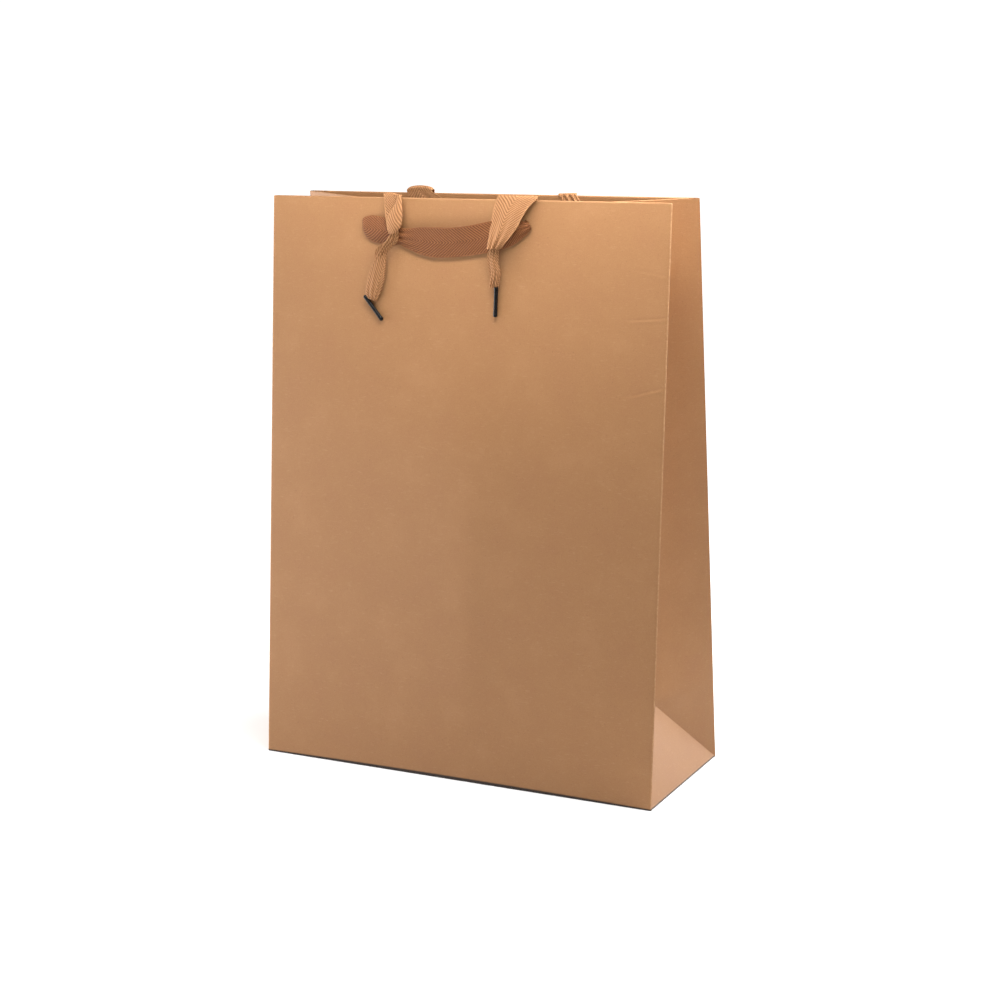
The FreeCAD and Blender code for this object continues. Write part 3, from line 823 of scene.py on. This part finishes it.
RIGHT_UPPER = [
    ((27.0, -1.5, 1.0), (54.4, -1.5, 1.0), 0.0, 0.1),
    ((26.4, -2.4, -0.5), (55.2, -2.4, -0.6), 0.2, 0.1),
    ((25.6, -0.2, -1.2), (54.6, 0.0, -2.2), 0.7, 0.1),
    ((23.9, 4.8, -1.7), (49.8, 5.6, -3.8), 1.3, 0.15),
    ((23.2, 10.0, -2.4), (46.6, 11.2, -5.0), 1.5, 0.2),
    ((22.4, 16.3, -3.2), (43.6, 17.8, -6.1), 1.5, 0.3),
    ((22.2, 22.6, -4.1), (39.8, 23.4, -6.8), 1.3, 0.45),
    ((21.8, 28.0, -5.2), (35.6, 28.4, -7.4), 1.0, 0.8),
    ((21.6, 32.8, -6.3), (32.0, 32.4, -7.4), 0.8, 1.25),
]

RIGHT_LOWER = [
    ((24.6, 29.6, -5.6), (31.2, 30.0, -6.0), 0.2, 0.6, 6.0),
    ((23.6, 33.6, -5.6), (29.4, 33.6, -5.2), 0.3, 0.5, 7.0),
    ((23.4, 38.5, -5.2), (28.6, 38.6, -4.4), 0.7, 0.3, 8.0),
    ((23.7, 43.5, -4.6), (29.0, 43.6, -4.0), 0.9, 0.2, 8.0),
    ((24.2, 48.5, -4.0), (30.0, 48.0, -3.6), 0.8, 0.3, 8.0),
    ((23.4, 53.6, -3.6), (29.4, 53.2, -3.3), 0.7, 0.6, 7.0),
    ((22.4, 58.6, -3.2), (28.6, 57.6, -3.1), 0.4, 0.9, 5.5),
]

# The back handle's left tail lies close over the rim, and its right tail turns over it in a slack loop
# nearer the side. All in millimetres.
BACK_SHIFT = 17.0           # how much nearer the side the right tail hangs
CREST_LOW = 0.6             # how far the left tail stands above the rim at most
BACK_LOOP_SPAN = (49.2, 69.0)
BACK_LOOP_PATH = [(2.2, 1.0, 0.0), (2.0, 1.9, 0.7), (0.2, 2.2, 1.0), (-1.8, 1.4, 0.9), (-3.0, -2.0, 0.3)]
BACK_LOOP_RISE = 2.5        # how much higher the loop's middle stands than its edges

BACK_RIGHT_RISER = RIGHT_RISER[:2] + [
    ((41.0, 3.5, 2.6), (66.0, 5.0, 2.6), 0.0, 0.3),
    ((49.2, -1.0, 2.2), (69.0, -1.0, 2.2), 0.0, 0.1),
]


def back_loop():
    """Rows over the rim whose middle arches up: (depth, edge height, share of the rise) along the tape."""
    start, end = BACK_LOOP_SPAN
    shares = np.linspace(0, 1, BAND_POINTS)
    across = start + (end - start) * shares
    arch = np.sqrt(np.clip(1 - (2 * shares - 1) ** 2, 0, 1))
    rows = []
    for depth, height, rise in BACK_LOOP_PATH:
        drop = -height - BACK_LOOP_RISE * rise * arch
        rows.append(np.stack([across, drop, np.full_like(across, depth)], 1))
    return np.array(rows)


def shifted(rows):
    """Ribbon rows moved sideways, to where the back handle's right tail hangs."""
    return [((a[0] + BACK_SHIFT, *a[1:]), (b[0] + BACK_SHIFT, *b[1:]), *rest) for a, b, *rest in rows]


def pressed(net):
    """A net held down so that it stands no more than CREST_LOW above the rim."""
    net = np.array(net, float)
    net[..., 1] = np.maximum(net[..., 1], -CREST_LOW)
    return net


def handle_nets(side):
    """For each hand, the nets of the riser inside and of the tail's upper and lower parts outside."""
    if side == "front":
        return (
            ("left", band(LEFT_RISER), LEFT_UPPER, band(LEFT_LOWER)),
            ("right", band(RIGHT_RISER), band(RIGHT_UPPER), band(RIGHT_LOWER)),
        )
    loop = np.concatenate([back_loop(), band(shifted(RIGHT_UPPER[3:]))])
    return (
        ("left", pressed(band(LEFT_RISER)), pressed(LEFT_UPPER), band(LEFT_LOWER)),
        ("right", band(BACK_RIGHT_RISER), loop, band(shifted(RIGHT_LOWER))),
    )


def handle(side):
    """Both tails, the run between the holes and the risers inside, for one wall."""
    wall = side + "_wall"
    run, length = tape_mesh("ribbon_" + side + "_run", band(RUN), side)
    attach(run, wall)
    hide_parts(side + "_ribbon_run")
    pieces = [run]
    for hand, riser_net, upper_net, lower_net in handle_nets(side):
        start = "ribbon_" + side + "_" + hand
        node = side + "_" + hand + "_tail"
        riser, length = tape_mesh(start + "_riser", riser_net, side)
        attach(riser, wall)
        upper, length = tape_mesh(start + "_upper", upper_net, side)
        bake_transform(upper)
        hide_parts(node + "_upper")
        lower, length = tape_mesh(start + "_lower", lower_net, side)
        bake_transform(lower)
        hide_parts(node + "_lower")
        pieces += [riser, upper, lower]
    return pieces


# T-bars

LEFT_BAR = ((-74.2, 67.4), (-60.0, 83.6))   # both ends, as (across, below the rim) in millimetres
RIGHT_BAR = ((27.0, 57.2), (26.8, 77.9))
BAR_DEPTH = -2.05           # middle of a T-bar, in millimetres from the wall's middle plane

# Rings between a T-bar's end faces: (share of its length, share of BAR_R)
BAR_PROFILE = [(0.0, 0.62), (0.010, 0.86), (0.028, 0.98), (0.06, 1.0), (0.5, 0.94), (0.94, 1.0),
               (0.972, 0.98), (0.990, 0.86), (1.0, 0.62)]


def toggle_bar(hand, side):
    """A moulded rod with rounded, slightly thicker ends."""
    ends = LEFT_BAR if hand == "left" else RIGHT_BAR
    shift = BACK_SHIFT if hand == "right" and side == "back" else 0.0
    start, end = on_wall([((x + shift) * MM, BAR_DEPTH * MM, PANEL_H - d * MM) for x, d in ends], side)
    axis = (end - start) / np.linalg.norm(end - start)
    first = np.cross(axis, ACROSS)
    first = first / np.linalg.norm(first)
    second = np.cross(axis, first)
    vertices = [start]
    for share, size in BAR_PROFILE:
        centre = start + (end - start) * share
        vertices += [centre + BAR_R * size * (math.cos(t) * first + math.sin(t) * second) for t in CIRCLE]
    vertices.append(end)
    count = len(CIRCLE)
    last = len(vertices) - 1
    around = [(i, (i + 1) % count) for i in range(count)]
    faces = [(0, 1 + j, 1 + i) for i, j in around]
    for low in range(1, last - count, count):
        faces += [(low + i, low + j, low + count + j, low + count + i) for i, j in around]
    faces += [(last - count + i, last - count + j, last) for i, j in around]
    bar = new_object("t_bar_" + side + "_" + hand, vertices, faces)
    bar.data.set_sharp_from_angle(angle=BAR_SHARP_ANGLE)
    node = side + "_" + hand + "_toggle"
    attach(bar, node)
    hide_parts(node)
    return bar


# Studio

CAMERA_AZIMUTH = 26.774     # degrees, towards the bag's right
CAMERA_ELEVATION = 12.321
CAMERA_ROLL = -0.917
CAMERA_DISTANCE = 1.454
CAMERA_TARGET = (0.01145, 0.0, 0.18793)
CAMERA_LENS = 74.89         # millimetres, on a sensor 36 mm wide

WORLD_LIGHT = 0.25
BACKDROP_LIGHT = 1.05
BACKDROP_AIM = (-0.45, 0.893, 0.0)  # the white backdrop behind the bag, as a direction
FLAG_AIM = (0.40, -0.85, 0.34)      # the dark flag in front of the bag, as a direction
FLAG_DEPTH = 0.95           # how much of the surround's light the flag takes away

# The floor glows more the farther it is from the bag, so that the far floor stays white.
FLOOR_GLOW = (0.22, 1.00)           # near and far
FLOOR_GLOW_REACH = (0.25, 1.2)      # how far from the bag's middle near and far are
FLOOR_SPAN = 40.0                   # half the width of the floor

# (name, place, aimed at, size, power)
LIGHTS = (
    ("rim_strip", (0.12, -0.09, 0.55), (0.06, -0.06, 0), (0.4, 0.05), 0.26),
    ("top_strip", (0.05, -0.13, 0.58), (0.05, -0.08, 0), (0.5, 0.08), 2.2),
    ("top_side", (0.24, 0.05, 0.56), (0.16, 0.03, 0), (0.12, 0.12), 2.6),
    ("low_left", (-0.30, -0.40, 0.02), (-0.10, -0.06, 0.06), (0.4, 0.03), 0.60),
    ("left", (-0.9, -0.20, 0.25), (-0.15, -0.05, 0.1), (0.3, 0.5), 8.8),
    ("behind", (0.5, 0.7, 0.25), (0.15, 0.0, 0.0), (0.4, 0.4), 5.2),
    ("side", (0.75, 0.45, 0.75), (0.1, 0, 0.1), (0.5, 0.5), 3.8),
)


def camera():
    azimuth = math.radians(CAMERA_AZIMUTH)
    elevation = math.radians(CAMERA_ELEVATION)
    roll = math.radians(CAMERA_ROLL)
    level = math.cos(elevation)
    back = Vector((math.sin(azimuth) * level, -math.cos(azimuth) * level, math.sin(elevation)))
    right = Vector((0, 0, 1)).cross(back).normalized()
    up = back.cross(right)
    tilted_right = right * math.cos(roll) + up * math.sin(roll)
    tilted_up = up * math.cos(roll) - right * math.sin(roll)
    data = bpy.data.cameras.new("camera")
    data.lens = CAMERA_LENS
    data.sensor_width = 36.0
    data.clip_start = 0.05
    data.clip_end = 60.0
    obj = bpy.data.objects.new("camera", data)
    place = Vector(CAMERA_TARGET) + back * CAMERA_DISTANCE
    basis = Matrix((tilted_right, tilted_up, back)).transposed().to_4x4()
    obj.matrix_world = Matrix.Translation(place) @ basis
    bpy.context.scene.collection.objects.link(obj)
    bpy.context.scene.camera = obj


def area_light(name, place, target, size, power):
    data = bpy.data.lights.new(name, "AREA")
    data.shape = "RECTANGLE"
    data.size, data.size_y = size
    data.energy = power
    obj = bpy.data.objects.new(name, data)
    place, target = Vector(place), Vector(target)
    obj.rotation_euler = (target - place).to_track_quat("-Z", "Y").to_euler()
    obj.location = place
    obj.visible_camera = False
    bpy.context.scene.collection.objects.link(obj)


def white_room():
    """A dim surround, a white backdrop behind the bag, and one large dark flag in front of it."""
    n = Nodes(bpy.data.worlds.new("studio"), "Background")
    direction = n.add("ShaderNodeTexCoord").outputs["Generated"]
    towards = n.range(n.dot(direction, FLAG_AIM), 0.20, 0.75, 0.0, 1.0, "SMOOTHSTEP")
    above = n.range(n.split(direction)[2], 0.04, 0.12, 0.0, 1.0, "SMOOTHSTEP")
    flag = n.math("MULTIPLY", towards, above)
    n.link(n.range(flag, 0.0, 1.0, 1.0, 1.0 - FLAG_DEPTH), n.shader.inputs["Color"])
    behind = n.dot(direction, BACKDROP_AIM)
    strength = n.range(behind, 0.85, 0.96, WORLD_LIGHT, BACKDROP_LIGHT, "SMOOTHSTEP")
    n.link(strength, n.shader.inputs["Strength"])
    bpy.context.scene.world = n.owner


def floor_paint():
    """Matt white with a faint unevenness, and a glow that grows with the distance from the bag."""
    n = new_material("studio_floor")
    tone = n.noise(n.coords(), 3, 2, 0.5)
    base = n.ramp(tone, [(0.0, (0.86, 0.86, 0.86)), (1.0, (0.90, 0.90, 0.90))])
    n.link(base, n.shader.inputs["Base Color"])
    n.shader.inputs["Roughness"].default_value = 0.9
    n.shader.inputs["Specular IOR Level"].default_value = 0.1
    n.shader.inputs["Emission Color"].default_value = (1, 1, 1, 1)
    reach = n.add("ShaderNodeVectorMath", operation="LENGTH")
    n.link(n.coords(), reach.inputs[0])
    glow = n.range(reach.outputs["Value"], *FLOOR_GLOW_REACH, *FLOOR_GLOW)
    n.link(glow, n.shader.inputs["Emission Strength"])
    return n.owner


def studio():
    bpy.context.scene.view_settings.view_transform = "Standard"
    white_room()
    for light in LIGHTS:
        area_light(*light)
    corners = [(x * FLOOR_SPAN, y * FLOOR_SPAN, 0) for x, y in ((-1, -1), (1, -1), (1, 1), (-1, 1))]
    floor = new_object("floor", corners, [(0, 1, 2, 3)])
    give(floor, floor_paint())


def main():
    kraft = kraft_paper("kraft_paper")
    # The walls' kraft carries painted crease highlights and a painted contact shadow at the foot
    painted_light = kraft_paper("kraft_painted_light", painted_light=True)
    card = card_board()
    face = ribbon_tape("ribbon", *RIBBON_FACE)
    shaded_ribbon = ribbon_tape("ribbon_shaded", *RIBBON_SHADED)
    black = black_toggle()

    for side in SIDES:
        give(wall_sheet(side), painted_light)
        for piece in handle(side):
            # The run between the holes gets the darker copy of the tape: painted shade
            give(piece, shaded_ribbon if piece.name.endswith("_run") else face)
        for hand in HANDS:
            give(gusset_half(hand, side), kraft)
            give(toggle_bar(hand, side), black)
    for hand in HANDS:
        give(gusset_foot(hand), painted_light)
    for name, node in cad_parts.items():
        if name in ("base_board", "front_rim_card", "back_rim_card"):
            give(node, card)
        elif name.startswith("bottom_") or name == "side_seam_flap":
            give(node, kraft)

    studio()
    camera()


main()
